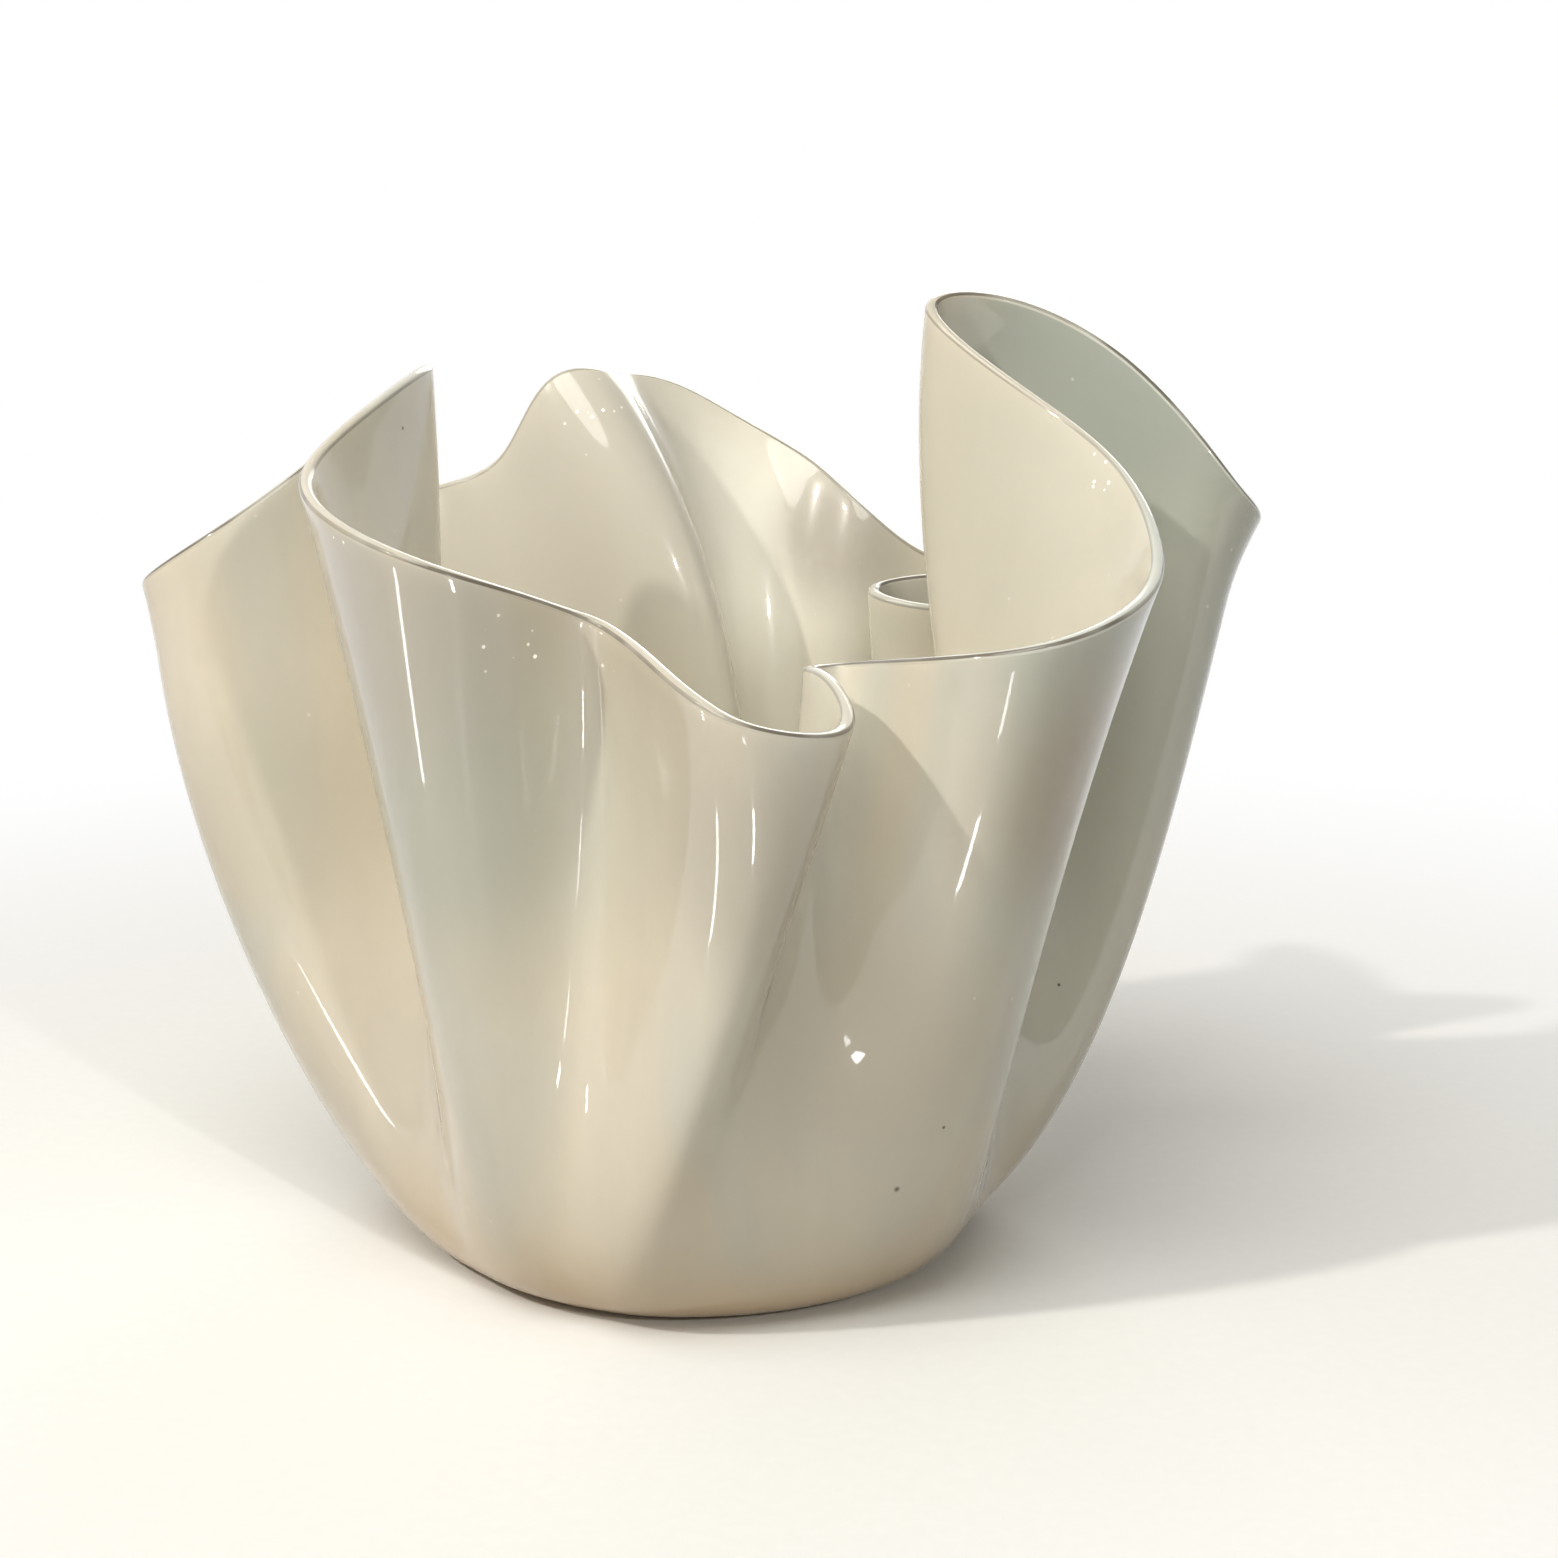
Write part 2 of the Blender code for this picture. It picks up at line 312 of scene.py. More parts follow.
def column_places(count):
    """Where the mesh's columns stand: close together where the rim turns tightly."""
    fine = np.linspace(0.0, 1.0, PLACES_TRIED, endpoint=False)
    rim = Wall(fine).rim
    along = np.roll(rim, -1, axis=0) - rim
    length = np.linalg.norm(along, axis=1)
    heading = unit(along)
    alike = np.sum(heading * np.roll(heading, -1, axis=0), axis=1)
    turn = np.arccos(np.clip(alike, -1.0, 1.0))
    worth = np.concatenate([[0.0], np.cumsum(length + turn / math.tau * TURN_AS_LENGTH)])
    evenly = np.linspace(0.0, worth[-1], count, endpoint=False)
    return np.interp(evenly, worth, np.append(fine, 1.0))


def glass_rows(shape):
    """Rows of points from the middle of the foot up the outside, over the rim and down the inside.

    Each row also has its height share, which zone of the glass it is in (0 outside, 1 rim,
    2 inside) and how far across the rim it lies.
    """
    places = column_places(shape.columns)
    wall, before, after = Wall(places), Wall(places - PLACE_NUDGE), Wall(places + PLACE_NUDGE)
    rim_thickness = shape.rim_thickness / MM
    floor_thickness = shape.floor_thickness / MM
    rounding = shape.rim_rounding / MM
    top = wall.point(1.0)
    rise = np.linalg.norm(top - wall.point(1.0 - STEP_NUDGE), axis=1) / STEP_NUDGE
    last = 1.0 - rounding / rise
    rows = [(wall.foot * share, 0.0, 0, 0.0) for share in reversed(FOOT_RINGS)]
    inside = []
    for k in range(shape.rows + 1):
        step = k / shape.rows
        points = wall.point(step * last)
        normals = wall_normals(before, after, wall, step * last)
        thickness = rim_thickness + (floor_thickness - rim_thickness) * (1.0 - step) ** 2
        rows.append((points, step, 0, 0.0))
        inside.append((points - normals * thickness, step, 2, 1.0))
    # The fire-polished rim: an arc, a narrow flat and another arc
    normals = wall_normals(before, after, wall, np.full(len(top), 1.0 - STEP_NUDGE))
    upward = unit(top - wall.point(NEAR_RIM))
    arc = [math.radians(90.0) * k / RIM_ARC_STEPS for k in range(1, RIM_ARC_STEPS + 1)]
    across = [(rounding * (1.0 - math.cos(a)), rounding * (math.sin(a) - 1.0)) for a in arc]
    across += [(rim_thickness - inward, drop) for inward, drop in reversed(across)]
    for inward, drop in across:
        points = top - normals * inward + upward * drop
        rows.append((points, 1.0, 1, inward / rim_thickness))
    rows += reversed(inside)
    for share in FOOT_RINGS:
        points = wall.foot * share
        points[:, 2] = floor_thickness
        rows.append((points, 0.0, 2, 1.0))
    return rows, places


def within_box(points):
    """Fit the finely drawn glass to the solid model's box, by a fraction of a millimetre."""
    low, high = np.array(CAD_BOX[0]), np.array(CAD_BOX[1])
    drawn_low, drawn_high = points.min(axis=0), points.max(axis=0)
    return low + (points - drawn_low) * (high - low) / (drawn_high - drawn_low)


def build_mesh(name, rows, places):
    """A closed mesh from closed rows of points, in metres, with its zones and a map of the sheet."""
    count = len(places)
    points = within_box(np.vstack([row[0] for row in rows]) * MM)
    low_middle = len(points)
    points = np.vstack([points, [[0.0, 0.0, 0.0], [0.0, 0.0, points[-1][2]]]])
    quads = []
    zones = []
    for low in range(len(rows) - 1):
        zone = rows[low][2] if rows[low][2] == rows[low + 1][2] else 1
        for i in range(count):
            after = (i + 1) % count
            high = low + 1
            quads.append((low * count + i, low * count + after, high * count + after, high * count + i))
            zones.append(zone)
    top = (len(rows) - 1) * count
    fans = [(low_middle, (i + 1) % count, i) for i in range(count)]
    fans += [(low_middle + 1, top + i, top + (i + 1) % count) for i in range(count)]
    zones += [0] * count + [2] * count
    mesh = bpy.data.meshes.new(name)
    mesh.from_pydata(points.tolist(), [], quads + fans)
    mesh.polygons.foreach_set("material_index", zones)
    for title, column in (("height_share", 1), ("across_rim", 3)):
        field = mesh.attributes.new(title, "FLOAT", "POINT")
        values = np.repeat([row[column] for row in rows], count)
        values = np.append(values, [rows[0][column], rows[-1][column]])
        field.data.foreach_set("value", values.astype(np.float32))
    mesh.update()
    mesh.validate()
    mesh.shade_smooth()
    return mesh


# Shader helpers

def add(tree, kind, **inputs):
    """Add a node and fill its sockets by name: a number, a tuple, or another node's output."""
    node = tree.nodes.new(kind)
    for name, value in inputs.items():
        if hasattr(node, name) and name not in node.inputs:
            setattr(node, name, value)
            continue
        key = name.replace("_", " ")
        socket = node.inputs[int(name[1:]) if name[0] == "i" and name[1:].isdigit() else key]
        if isinstance(value, bpy.types.NodeSocket):
            tree.links.new(value, socket)
        else:
            socket.default_value = value
    return node


def mix_colour(tree, share, first, second):
    node = tree.nodes.new("ShaderNodeMix")
    node.data_type = "RGBA"
    for index, value in ((0, share), (6, first), (7, second)):
        if isinstance(value, bpy.types.NodeSocket):
            tree.links.new(value, node.inputs[index])
        else:
            node.inputs[index].default_value = value
    return node.outputs[2]


def blend_in(tree, mask, amount, under, over):
    """Lay one colour over another where a mask says, at an amount."""
    return mix_colour(tree, arithmetic(tree, "MULTIPLY", mask, amount), under, over)


def arithmetic(tree, operation, *values):
    node = tree.nodes.new("ShaderNodeMath")
    node.operation = operation
    for socket, value in zip(node.inputs, values):
        if isinstance(value, bpy.types.NodeSocket):
            tree.links.new(value, socket)
        else:
            socket.default_value = value
    return node.outputs[0]


def remap(tree, value, low, high, to_low=0.0, to_high=1.0):
    """A smooth change from one range to another."""
    node = tree.nodes.new("ShaderNodeMapRange")
    node.interpolation_type = "SMOOTHSTEP"
    tree.links.new(value, node.inputs[0])
    for index, number in enumerate((low, high, to_low, to_high), start=1):
        node.inputs[index].default_value = number
    return node.outputs[0]


def group_with(name, inputs, outputs):
    """A node group with named sockets, each (name, kind, default)."""
    group = bpy.data.node_groups.new(name, "ShaderNodeTree")
    for title, kind, default in inputs:
        socket = group.interface.new_socket(title, in_out="INPUT", socket_type=kind)
        socket.default_value = default
    for title, kind in outputs:
        group.interface.new_socket(title, in_out="OUTPUT", socket_type=kind)
    return group, group.nodes.new("NodeGroupInput"), group.nodes.new("NodeGroupOutput")


def opal_clouds_and_shade_group():
    """Milky clouds and drawn-out streaks in opal glass, with painted shade towards the right, as
    colour.
    """
    group, given, result = group_with(
        "Opal Clouds",
        [
            ("Colour", "NodeSocketColor", (0.75, 0.74, 0.7, 1.0)),
            ("Cool Colour", "NodeSocketColor", (0.68, 0.72, 0.7, 1.0)),
            ("Warm Colour", "NodeSocketColor", (0.78, 0.72, 0.66, 1.0)),
            ("Right Shade Colour", "NodeSocketColor", (0.5, 0.53, 0.48, 1.0)),
            ("Amount", "NodeSocketFloat", 0.5),
        ],
        [("Colour", "NodeSocketColor")],
    )
    place = add(group, "ShaderNodeTexCoord").outputs["Object"]
    drawn = add(group, "ShaderNodeMapping", Vector=place, Scale=(1.0, 1.0, 0.45)).outputs[0]
    noise = "ShaderNodeTexNoise"
    broad = add(group, noise, Vector=drawn, Scale=13.0, Detail=2.5, Roughness=0.5, Distortion=0.6)
    fine = add(group, noise, Vector=drawn, Scale=46.0, Detail=4.0, Roughness=0.6)
    streak = add(group, "ShaderNodeMapping", Vector=place, Scale=(1.0, 1.0, 0.06)).outputs[0]
    thread = add(group, noise, Vector=streak, Scale=140.0, Detail=3.0, Roughness=0.55)
    # Cool clouds where the broad noise is high, warm ones where it is low
    cool = remap(group, broad.outputs[0], 0.47, 0.62)
    warm = remap(group, broad.outputs[0], 0.47, 0.32)
    amount = given.outputs["Amount"]
    colour = blend_in(group, cool, amount, given.outputs["Colour"], given.outputs["Cool Colour"])
    colour = blend_in(group, warm, amount, colour, given.outputs["Warm Colour"])
    # Painted shade towards the right, where less light falls, above the foot, with a wandering edge
    split = add(group, "ShaderNodeSeparateXYZ", Vector=place)
    wander = remap(group, broad.outputs[0], 0.3, 0.7, -0.03, 0.03)
    sideways = remap(group, arithmetic(group, "ADD", split.outputs[0], wander), 0.075, 0.125)
    raised = remap(group, split.outputs[2], 0.04, 0.2)
    colour = blend_in(group, sideways, raised, colour, given.outputs["Right Shade Colour"])
    # Faint mottling and threads drawn up the wall
    shade = remap(group, fine.outputs[0], 0.3, 0.7, 0.98, 1.015)
    lines = remap(group, thread.outputs[0], 0.3, 0.7, 0.992, 1.006)
    shade = arithmetic(group, "MULTIPLY", shade, lines)
    scale = add(group, "ShaderNodeVectorMath", operation="SCALE", i0=colour, Scale=shade)
    group.links.new(scale.outputs[0], result.inputs[0])
    return group


def seeds_group():
    """Tiny bubbles and specks under the surface of blown glass, as two masks."""
    group, given, result = group_with(
        "Seeds And Specks",
        [("Density", "NodeSocketFloat", 0.06), ("Scale", "NodeSocketFloat", 260.0)],
        [("Bubbles", "NodeSocketFloat"), ("Specks", "NodeSocketFloat")],
    )
    place = add(group, "ShaderNodeTexCoord").outputs["Object"]
    cells = add(group, "ShaderNodeTexVoronoi", Vector=place, Scale=given.outputs["Scale"])
    chance = add(group, "ShaderNodeSeparateColor", Color=cells.outputs["Color"])
    picked = arithmetic(group, "LESS_THAN", chance.outputs[0], given.outputs["Density"])
    dot = remap(group, cells.outputs["Distance"], 0.08, 0.2, 1.0, 0.0)
    group.links.new(arithmetic(group, "MULTIPLY", dot, picked), result.inputs[0])
    rare = arithmetic(group, "LESS_THAN", chance.outputs[1], SPECK_DENSITY)
    group.links.new(arithmetic(group, "MULTIPLY", dot, rare), result.inputs[1])
    return group


def blown_surface_group():
    """The height of blown glass's soft ripples."""
    group, given, result = group_with(
        "Blown Surface",
        [("Ripple Scale", "NodeSocketFloat", 20.0)],
        [("Height", "NodeSocketFloat")],
    )
    place = add(group, "ShaderNodeTexCoord").outputs["Object"]
    drawn = add(group, "ShaderNodeMapping", Vector=place, Scale=(1.0, 1.0, 0.3)).outputs[0]
    scale = given.outputs["Ripple Scale"]
    ripple = add(group, "ShaderNodeTexNoise", Vector=drawn, Scale=scale, Detail=1.5, Roughness=0.4)
    group.links.new(ripple.outputs[0], result.inputs[0])
    return group


def patch_group():
    """A soft round patch on the glass, about a place and with a reach, as a mask."""
    group, given, result = group_with(
        "Glass Patch",
        [("Centre", "NodeSocketVector", (0.0, 0.0, 0.0)), ("Reach", "NodeSocketFloat", 0.03)],
        [("Mask", "NodeSocketFloat")],
    )
    place = add(group, "ShaderNodeTexCoord").outputs["Object"]
    centre = given.outputs["Centre"]
    away = add(group, "ShaderNodeVectorMath", operation="DISTANCE", i0=place, i1=centre)
    share = arithmetic(group, "DIVIDE", away.outputs["Value"], given.outputs["Reach"])
    group.links.new(remap(group, share, 1.0, 0.25), result.inputs[0])
    return group


def patch_mask(tree, group, centre, reach):
    """One patch, placed in a material."""
    node = add(tree, "ShaderNodeGroup", node_tree=group)
    node.inputs["Centre"].default_value = centre
    node.inputs["Reach"].default_value = reach
    return node.outputs["Mask"]


def colour_of(values):
    return (*values, 1.0)


def new_material(name):
    """A material with its node tree and its one shader."""
    material = bpy.data.materials.new(name)
    material.use_nodes = True
    tree = material.node_tree
    return material, tree, tree.nodes["Principled BSDF"]


def opal_body(tree, clouds, amount, colours):
    """The clouds, with their four colours: the opal's own, the cool, the warm and the painted shade
    towards the right.
    """
    body = add(tree, "ShaderNodeGroup", node_tree=clouds)
    for socket, colour in zip(("Colour", "Cool Colour", "Warm Colour", "Right Shade Colour"), colours):
        body.inputs[socket].default_value = colour_of(colour)
    body.inputs["Amount"].default_value = amount
    return body.outputs[0]


def glass_material(name, glass, colours, foot_reflection, ripple, groups, painted_light_and_specks, glints):
    """Opal glass cased in clear: a milky body that light sinks into, under a hard clear gloss, with
    painted light, shade and glints in its colour.
    """
    clouds, seeds, surface, spot = groups
    material, tree, shader = new_material(name)
    body = opal_body(tree, clouds, glass.cloudiness, colours)
    # Bubbles, thicker where the painted glints are
    masks = [patch_mask(tree, spot, centre, reach) for centre, reach in glints]
    glint = masks[0]
    for mask in masks[1:]:
        glint = arithmetic(tree, "MAXIMUM", glint, mask)
    marks = add(tree, "ShaderNodeGroup", node_tree=seeds)
    dense = arithmetic(tree, "MULTIPLY_ADD", glint, GLINT_DENSITY, glass.seeds)
    tree.links.new(dense, marks.inputs["Density"])
    # Colour: the body, the painted warm reflection near the foot, the patches of painted light and
    # shade with one speck among them, then bubbles and specks
    high = add(tree, "ShaderNodeAttribute", attribute_name="height_share").outputs["Fac"]
    # Painted warm reflection of bounce light, strongest at the foot and gone by a share of the height
    near_foot = remap(tree, high, FOOT_REFLECTION_HEIGHT, 0.0)
    with_painted_light = blend_in(tree, near_foot, foot_reflection, body, colour_of(glass.foot_reflection_colour))
    # The patches lay painted light and painted shade over the colour, and one small speck outside
    for patch in painted_light_and_specks:
        mask = patch_mask(tree, spot, patch.centre, patch.reach)
        with_painted_light = blend_in(tree, mask, patch.amount, with_painted_light, colour_of(patch.colour))
    # Painted glints: in the clusters the bubbles are whitened fully
    bright = arithmetic(tree, "MULTIPLY_ADD", glint, 1.0 - BUBBLE_STRENGTH, BUBBLE_STRENGTH)
    bubbled = blend_in(tree, marks.outputs[0], bright, with_painted_light, colour_of(BUBBLE_COLOUR))
    specked = mix_colour(tree, marks.outputs[1], bubbled, colour_of(SPECK_COLOUR))
    tree.links.new(specked, shader.inputs["Base Color"])
    # The painted glints glow through the emission
    shine = blend_in(tree, marks.outputs[0], glint, BLACK, colour_of(GLINT_GLOW))
    tree.links.new(shine, shader.inputs["Emission Color"])
    shader.inputs["Emission Strength"].default_value = 1.0
    height = add(tree, "ShaderNodeGroup", node_tree=surface)
    height.inputs["Ripple Scale"].default_value = ripple
    bump = add(tree, "ShaderNodeBump", Strength=RIPPLE_STRENGTH, Distance=RIPPLE_DEPTH)
    tree.links.new(height.outputs[0], bump.inputs["Height"])
    tree.links.new(bump.outputs[0], shader.inputs["Normal"])
    set_gloss(shader, glass)
    return material


def set_gloss(shader, glass):
    """The glow and the gloss that all the glass shares."""
    shader.subsurface_method = "BURLEY"
    for socket, value in (
        ("Roughness", glass.roughness),
        ("IOR", 1.5),
        ("Specular IOR Level", 0.15),
        ("Subsurface Weight", glass.glow),
        ("Subsurface Radius", (1.0, 0.9, 0.75)),
        ("Subsurface Scale", glass.glow_depth),
        ("Coat Weight", glass.casing),
        ("Coat Roughness", glass.casing_roughness),
        ("Coat IOR", 1.5),
    ):
        shader.inputs[socket].default_value = value


def rim_material(glass, clouds):
    """The polished rim: a dark line where the clear casing shows on edge, beside the opal."""
    material, tree, shader = new_material("opal_rim")
    colours = (glass.rim_colour, glass.cool_colour, glass.rim_colour, glass.cool_colour)
    body = opal_body(tree, clouds, RIM_CLOUDINESS, colours)
    across = add(tree, "ShaderNodeAttribute", attribute_name="across_rim").outputs["Fac"]
    start, full, fading, end = DARK_LINE
    rising, falling = remap(tree, across, start, full), remap(tree, across, end, fading)
    line = arithmetic(tree, "MULTIPLY", rising, falling)
    inner = remap(tree, across, *INNER_EDGE)
    place = add(tree, "ShaderNodeTexCoord").outputs["Object"]
    wander = add(tree, "ShaderNodeTexNoise", Vector=place, Scale=35.0, Detail=2.0)
    strength = remap(tree, wander.outputs[0], 0.35, 0.6, 0.45, 0.95)
    casing = colour_of(glass.casing_colour)
    colour = blend_in(tree, line, strength, body, casing)
    colour = blend_in(tree, inner, INNER_EDGE_STRENGTH, colour, casing)
    tree.links.new(colour, shader.inputs["Base Color"])
    set_gloss(shader, glass)
    shader.inputs["Subsurface Weight"].default_value = RIM_GLOW
    return material


# Settings

def colour_setting(name, description, default):
    return bpy.props.FloatVectorProperty(
        name=name, description=description, default=default, size=3, subtype="COLOR", min=0.0, max=1.0
    )


def share_setting(name, description, default, most=1.0):
    return bpy.props.FloatProperty(
        name=name, description=description, default=default, min=0.0, max=most, subtype="FACTOR"
    )


def length_setting(name, description, default, least, most):
    return bpy.props.FloatProperty(
        name=name, description=description, default=default, min=least, max=most, unit="LENGTH"
    )


def power_setting(name, description, default):
    return bpy.props.FloatProperty(
        name=name, description=description, default=default, min=0.0, subtype="POWER"
    )


class VaseShapeSettings(bpy.types.PropertyGroup):
    floor_thickness: length_setting("Floor", "How thick the glass is at the foot", 0.008, 0.004, 0.02)
    rim_thickness: length_setting("Rim", "How thick the glass is at the rim", 0.004, 0.003, 0.006)
    rim_rounding: length_setting(
        "Rim Rounding", "Radius of the polished rim's edges", 0.0018, 0.0005, 0.002
    )
    columns: bpy.props.IntProperty(
        name="Columns", description="Mesh columns round the vase", default=540, min=140, max=600
    )
    rows: bpy.props.IntProperty(
        name="Rows", description="Mesh rows up the wall", default=72, min=12, max=80
    )


class VaseGlassSettings(bpy.types.PropertyGroup):
    outside_colour: colour_setting("Outside", "Opal glass seen from outside", (0.745, 0.685, 0.565))
    inside_colour: colour_setting("Inside", "Opal glass seen from inside", (0.77, 0.72, 0.6))
    cool_colour: colour_setting("Cool Clouds", "Blue-green clouds in the opal", (0.65, 0.665, 0.61))
    warm_colour: colour_setting("Warm Clouds", "Rosy clouds in the opal", (0.74, 0.675, 0.58))
    # Painted shade: a greyer colour towards the right, where less light falls
    right_shade_colour: colour_setting(
        "Right Shade", "Greyer glass where the wall was drawn thin, on the right", (0.49, 0.505, 0.44)
    )
    # Painted warm reflection of bounce light near the foot
    foot_reflection_colour: colour_setting("Foot", "Warmer glass towards the foot", (0.86, 0.63, 0.35))
    rim_colour: colour_setting("Rim", "Opal glass on the polished rim", (0.64, 0.59, 0.49))
    casing_colour: colour_setting("Casing Line", "Clear casing seen on edge", (0.16, 0.14, 0.11))
    # How strongly the painted warm reflection near the foot is laid on
    foot_reflection_amount: share_setting("Painted Foot Reflection", "How much the foot takes its own colour", 0.95)
    cloudiness: share_setting("Cloudiness", "Strength of the clouds in the opal", 0.6)
    seeds: share_setting("Seeds", "Share of cells that hold a tiny bubble", 0.012, 0.2)
    roughness: share_setting("Roughness", "Roughness under the clear casing", 0.22)
    casing: share_setting("Casing", "Weight of the clear casing's gloss", 1.0)
    casing_roughness: share_setting("Casing Roughness", "Roughness of the clear casing", 0.03)
    glow: share_setting("Glow", "How much light spreads inside the glass", 0.4)
    glow_depth: length_setting("Glow Depth", "How far light spreads inside the glass", 0.004, 0.0, 0.05)


class StudioSettings(bpy.types.PropertyGroup):
    camera_place: bpy.props.FloatVectorProperty(
        name="Camera", description="Where the camera stands", default=(0.026, -0.8567, 0.329),
        size=3, subtype="TRANSLATION", unit="LENGTH",
    )
    camera_pitch: bpy.props.FloatProperty(
        name="Pitch", description="How far the camera looks below the horizon",
        default=math.radians(12.1), subtype="ANGLE",
    )
    lens: bpy.props.FloatProperty(
        name="Lens", description="Focal length in millimetres", default=65.2, min=20.0, max=200.0
    )
    left_lamp: power_setting("Left Lamp", "Power of the small lamp at the front left", 26.5)
    right_lamp: power_setting("Right Lamp", "Power of the small lamp at the front right", 13.0)
    top_light: power_setting("Top Light", "Power of the large soft light overhead", 24.0)
    back_light: power_setting("Back Light", "Power of the large soft light behind", 15.0)
    streak_light: power_setting(
        "Streak Lights", "Power of each low strip that draws streaks in the gloss", 0.16
    )
    ambient: bpy.props.FloatProperty(
        name="Ambient", description="Strength of the soft light around", default=0.4, min=0.0, max=2.0
    )


# The pieces

def link(thing):
    bpy.context.scene.collection.objects.link(thing)
    return thing


class VASE_OT_blow_glass(bpy.types.Operator):
    """Blow the folded vase: outer skin, polished rim and inner skin in one closed mesh"""

    bl_idname = "vase.blow_glass"
    bl_label = "Blow the Glass"

    def execute(self, context):
        shape = context.scene.vase_shape
        glass = context.scene.vase_glass
        rows, places = glass_rows(shape)
        mesh = build_mesh("vase_glass", rows, places)
        groups = (opal_clouds_and_shade_group(), seeds_group(), blown_surface_group(), patch_group())
        outside = (glass.outside_colour, glass.cool_colour, glass.warm_colour, glass.right_shade_colour)
        inside = [glass.inside_colour] * 4
        inside[1] = [0.5 * (a + b) for a, b in zip(glass.inside_colour, glass.cool_colour)]
        mesh.materials.append(glass_material(
            "opal_outside", glass, outside, glass.foot_reflection_amount, OUTSIDE_RIPPLE,
            groups, OUTSIDE_PAINTED_SHADE_AND_SPECK, OUTSIDE_GLINTS,
        ))
        mesh.materials.append(rim_material(glass, groups[0]))
        mesh.materials.append(glass_material(
            "opal_inside", glass, inside, INSIDE_FOOT_REFLECTION * glass.foot_reflection_amount, INSIDE_RIPPLE,
            groups, INSIDE_PAINTED_LIGHT_AND_SHADE, INSIDE_GLINTS,
        ))
        piece = link(bpy.data.objects.new("vase_glass", mesh))
        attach(piece, "root")
        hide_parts("vase")
        return {"FINISHED"}


def lamp(name, direction, distance, size, power, colour):
    """An area lamp in a direction from the vase, turned to face it."""
    light = bpy.data.lights.new(name, "AREA")
    light.shape = "DISK"
    light.size = size
    light.energy = power
    light.color = colour
    thing = link(bpy.data.objects.new(name, light))
    away = Vector(direction).normalized()
    thing.location = Vector(AIM) + away * distance
    thing.rotation_euler = away.to_track_quat("Z", "Y").to_euler()
    return thing


def streak_light(name, bearing, near, far, width, power):
    """A narrow strip on the floor before the vase, out of sight, that draws a streak in its gloss."""
    light = bpy.data.lights.new(name, "AREA")
    light.shape = "RECTANGLE"
    light.size = width
    light.size_y = far - near
    light.energy = power
    thing = link(bpy.data.objects.new(name, light))
    turn = math.radians(bearing)
    reach = (near + far) / 2
    thing.location = (reach * math.sin(turn), -reach * math.cos(turn), 0.01)
    thing.rotation_euler = (math.pi, 0.0, turn)
    thing.visible_camera = False
    return thing


def backdrop_material():
    """Pale paper: it keeps the vase's shadow, and whitens away from it."""
    material, tree, shader = new_material("pale_paper")
    place = add(tree, "ShaderNodeTexCoord").outputs["Object"]
    grain = add(tree, "ShaderNodeTexNoise", Vector=place, Scale=220.0, Detail=3.0)
    path = add(tree, "ShaderNodeLightPath")
    seen = arithmetic(tree, "MAXIMUM", path.outputs["Is Camera Ray"], path.outputs["Is Glossy Ray"])
    seen = arithmetic(tree, "MAXIMUM", seen, path.outputs["Is Transmission Ray"])
    paper = mix_colour(tree, grain.outputs[0], *(colour_of(shade) for shade in PAPER_COLOURS))
    colour = mix_colour(tree, seen, colour_of(PAPER_BOUNCE), paper)
    tree.links.new(colour, shader.inputs["Base Color"])
    shader.inputs["Roughness"].default_value = 0.85
    shader.inputs["Specular IOR Level"].default_value = 0.2
    split = add(tree, "ShaderNodeSeparateXYZ", Vector=place)
    flat = add(tree, "ShaderNodeCombineXYZ", X=split.outputs[0], Y=split.outputs[1])
    away = add(tree, "ShaderNodeVectorMath", operation="LENGTH", i0=flat.outputs[0])
    far = remap(tree, away.outputs["Value"], 0.2, 0.8)
    white = add(tree, "ShaderNodeEmission", Color=WHITE, Strength=1.0)
    both = add(tree, "ShaderNodeMixShader", Fac=arithmetic(tree, "MULTIPLY", far, seen))
    tree.links.new(shader.outputs[0], both.inputs[1])
    tree.links.new(white.outputs[0], both.inputs[2])
    tree.links.new(both.outputs[0], tree.nodes["Material Output"].inputs[0])
    return material


def backdrop():
    """A sheet that lies under the vase and curves up behind it."""
    profile = [(PAPER_FRONT, 0.0), (PAPER_BACK, 0.0)]
    for angle in (math.radians(a) for a in range(6, 91, 6)):
        profile.append((PAPER_BACK + PAPER_BEND * math.sin(angle), PAPER_BEND * (1 - math.cos(angle))))
    profile.append((PAPER_BACK + PAPER_BEND, PAPER_TOP))
    points = [(side * PAPER_WIDTH, y, z) for y, z in profile for side in (-1, 1)]
    faces = [(2 * i, 2 * i + 1, 2 * i + 3, 2 * i + 2) for i in range(len(profile) - 1)]
    mesh = bpy.data.meshes.new("backdrop")
    mesh.from_pydata(points, [], faces)
    mesh.shade_smooth()
    mesh.materials.append(backdrop_material())
    return link(bpy.data.objects.new("backdrop", mesh))


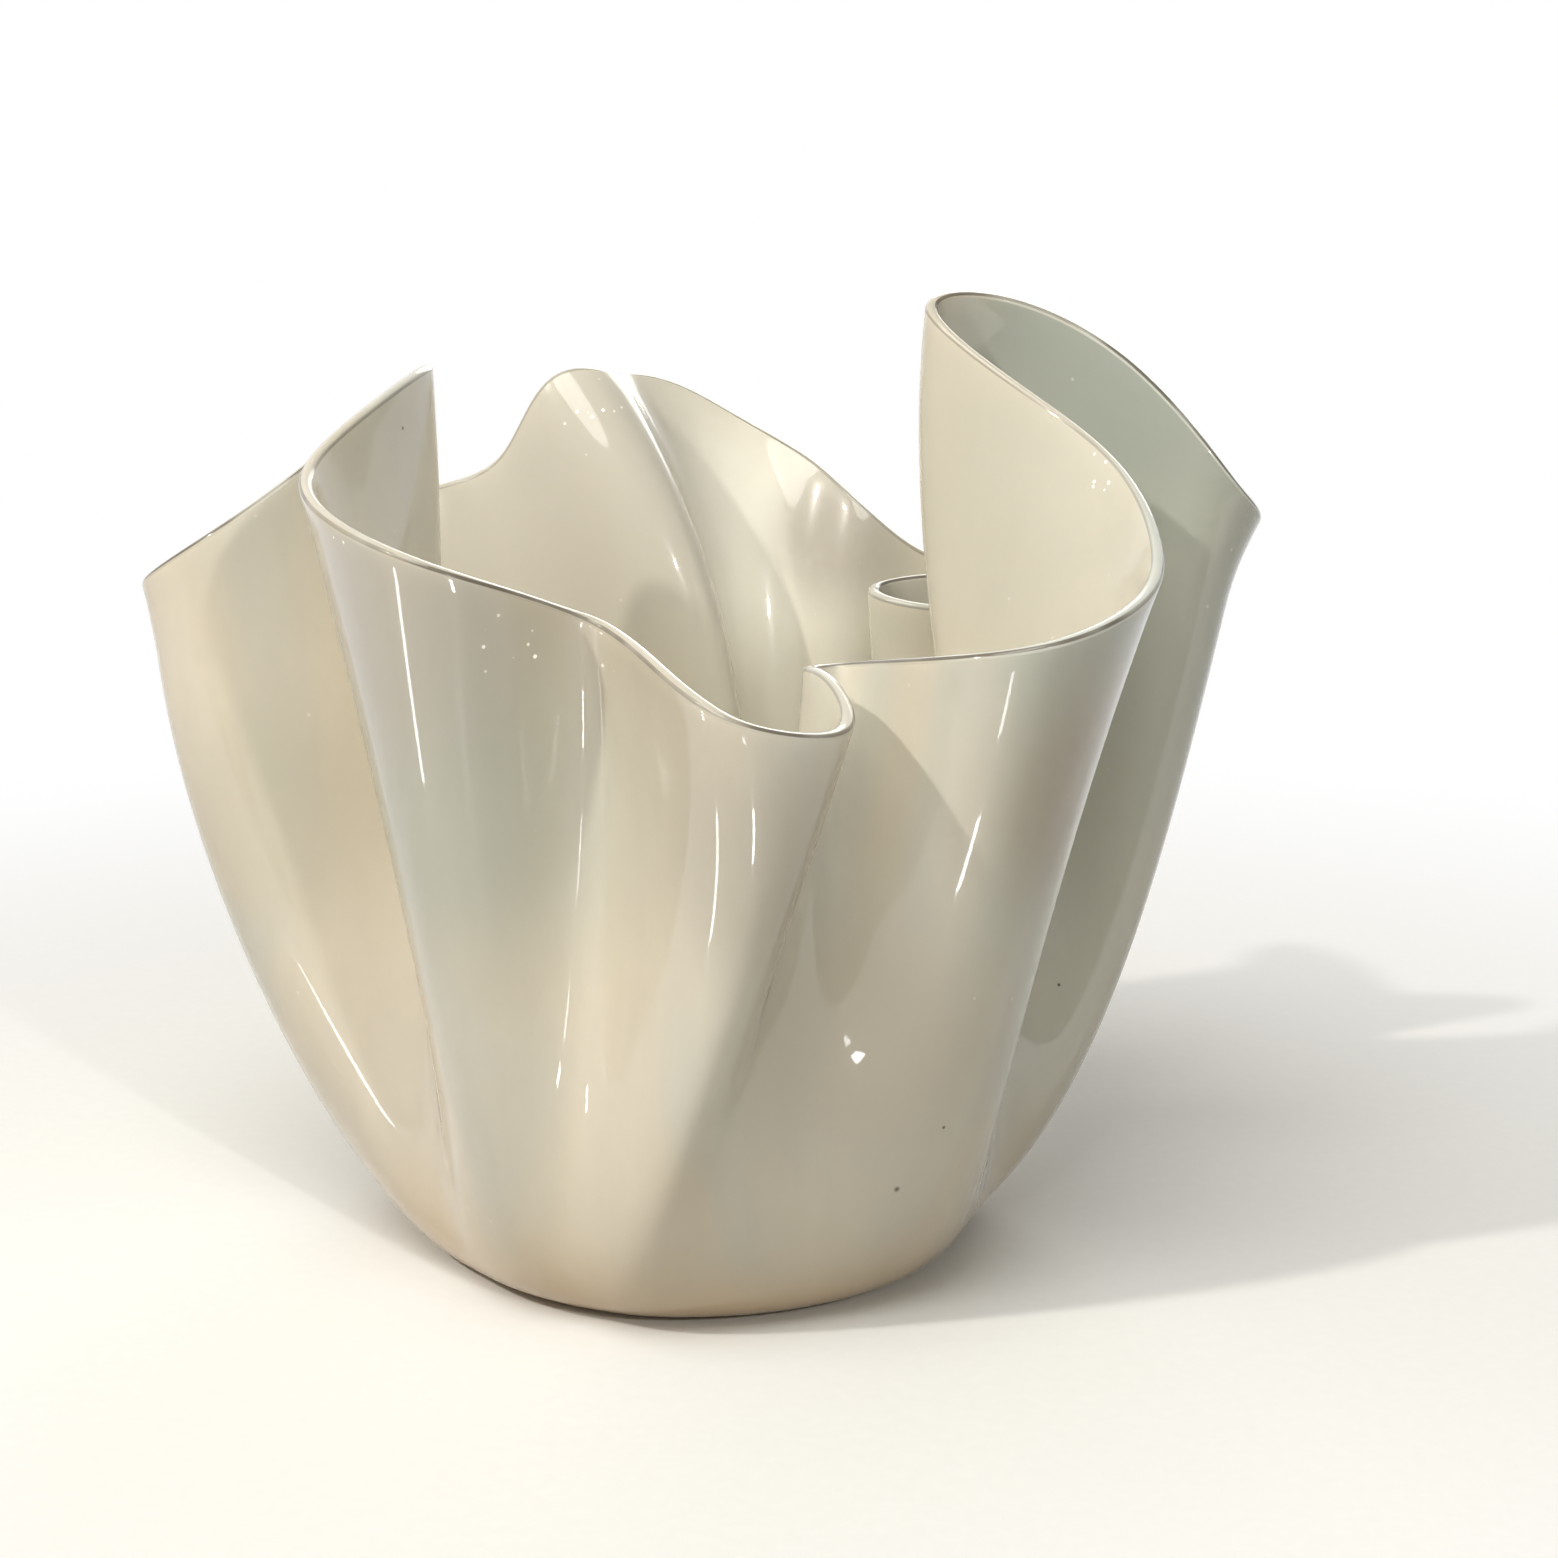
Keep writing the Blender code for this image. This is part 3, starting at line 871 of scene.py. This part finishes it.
def studio_world(ambient):
    """Soft light all around, brighter from above and the left, and plain white where it is seen."""
    world = bpy.data.worlds.new("studio")
    bpy.context.scene.world = world
    world.use_nodes = True
    tree = world.node_tree
    sky = tree.nodes["Background"]
    way = add(tree, "ShaderNodeTexCoord").outputs["Generated"]
    split = add(tree, "ShaderNodeSeparateXYZ", Vector=way)
    side = remap(tree, split.outputs[0], -0.8, 0.8)
    colour = mix_colour(tree, side, colour_of(AMBIENT_LEFT), colour_of(AMBIENT_RIGHT))
    lift = remap(tree, split.outputs[2], -0.4, 0.9, 0.65, 1.3)
    lifted = add(tree, "ShaderNodeVectorMath", operation="SCALE", i0=colour, Scale=lift)
    tree.links.new(lifted.outputs[0], sky.inputs["Color"])
    sky.inputs["Strength"].default_value = ambient
    white = add(tree, "ShaderNodeBackground", Color=WHITE, Strength=1.0)
    path = add(tree, "ShaderNodeLightPath")
    behind = remap(tree, split.outputs[1], 0.3, 0.8)
    glossy = arithmetic(tree, "MULTIPLY", path.outputs["Is Glossy Ray"], behind)
    seen = arithmetic(tree, "MAXIMUM", path.outputs["Is Camera Ray"], glossy)
    seen = arithmetic(tree, "MAXIMUM", seen, path.outputs["Is Transmission Ray"])
    both = add(tree, "ShaderNodeMixShader", Fac=seen)
    tree.links.new(sky.outputs[0], both.inputs[1])
    tree.links.new(white.outputs[0], both.inputs[2])
    tree.links.new(both.outputs[0], tree.nodes["World Output"].inputs[0])


class VASE_OT_set_stage(bpy.types.Operator):
    """Lay the pale backdrop and set the lamps and the camera"""

    bl_idname = "vase.set_stage"
    bl_label = "Set the Stage"

    def execute(self, context):
        scene = context.scene
        studio = scene.vase_studio
        backdrop()
        studio_world(studio.ambient)
        for name, direction, distance, size, power, colour in (
            ("lamp_left", (-0.63, -0.41, 0.66), 2.6, 0.11, studio.left_lamp, (1.0, 0.96, 0.88)),
            ("lamp_right", (0.40, -0.80, 0.42), 2.6, 0.11, studio.right_lamp, (1.0, 0.99, 0.93)),
            ("light_behind", (0.25, 0.85, 0.42), 2.4, 1.6, studio.back_light, (1.0, 0.98, 0.94)),
            ("light_overhead", (-0.15, -0.45, 0.88), 2.2, 1.5, studio.top_light, (1.0, 0.98, 0.93)),
        ):
            lamp(name, direction, distance, size, power, colour)
        streak_light("streak_front_near", 2.0, 0.42, 0.50, 0.025, studio.streak_light)
        streak_light("streak_front_far", 2.0, 0.62, 0.76, 0.035, studio.streak_light)
        streak_light("streak_left", -62.0, 0.42, 0.56, 0.03, studio.streak_light)
        camera = bpy.data.cameras.new("camera")
        camera.lens = studio.lens
        camera.sensor_width = 36.0
        stand = link(bpy.data.objects.new("camera", camera))
        stand.location = studio.camera_place
        stand.rotation_euler = (math.radians(90.0) - studio.camera_pitch, 0.0, 0.0)
        scene.camera = stand
        scene.view_settings.view_transform = "Standard"
        return {"FINISHED"}


class VASE_PT_panel(bpy.types.Panel):
    """Settings and steps of the vase"""

    bl_idname = "VASE_PT_panel"
    bl_label = "Handkerchief Vase"
    bl_space_type = "VIEW_3D"
    bl_region_type = "UI"
    bl_category = "Vase"

    def draw(self, context):
        layout = self.layout
        scene = context.scene
        for heading, settings in (
            ("Shape", scene.vase_shape),
            ("Glass", scene.vase_glass),
            ("Studio", scene.vase_studio),
        ):
            box = layout.box()
            box.label(text=heading)
            for name in settings.bl_rna.properties.keys():
                if name not in {"rna_type", "name"}:
                    box.prop(settings, name)
        layout.operator(VASE_OT_blow_glass.bl_idname)
        layout.operator(VASE_OT_set_stage.bl_idname)


CLASSES = (
    VaseShapeSettings,
    VaseGlassSettings,
    StudioSettings,
    VASE_OT_blow_glass,
    VASE_OT_set_stage,
    VASE_PT_panel,
)


def register():
    for item in CLASSES:
        bpy.utils.register_class(item)
    bpy.types.Scene.vase_shape = bpy.props.PointerProperty(type=VaseShapeSettings)
    bpy.types.Scene.vase_glass = bpy.props.PointerProperty(type=VaseGlassSettings)
    bpy.types.Scene.vase_studio = bpy.props.PointerProperty(type=StudioSettings)


def unregister():
    del bpy.types.Scene.vase_studio
    del bpy.types.Scene.vase_glass
    del bpy.types.Scene.vase_shape
    for item in reversed(CLASSES):
        bpy.utils.unregister_class(item)


def write_sizes():
    """Bring the view layer up to date."""
    bpy.context.view_layer.update()


def main():
    register()
    bpy.ops.vase.blow_glass()
    bpy.ops.vase.set_stage()
    write_sizes()


if __name__ == "__main__":
    main()
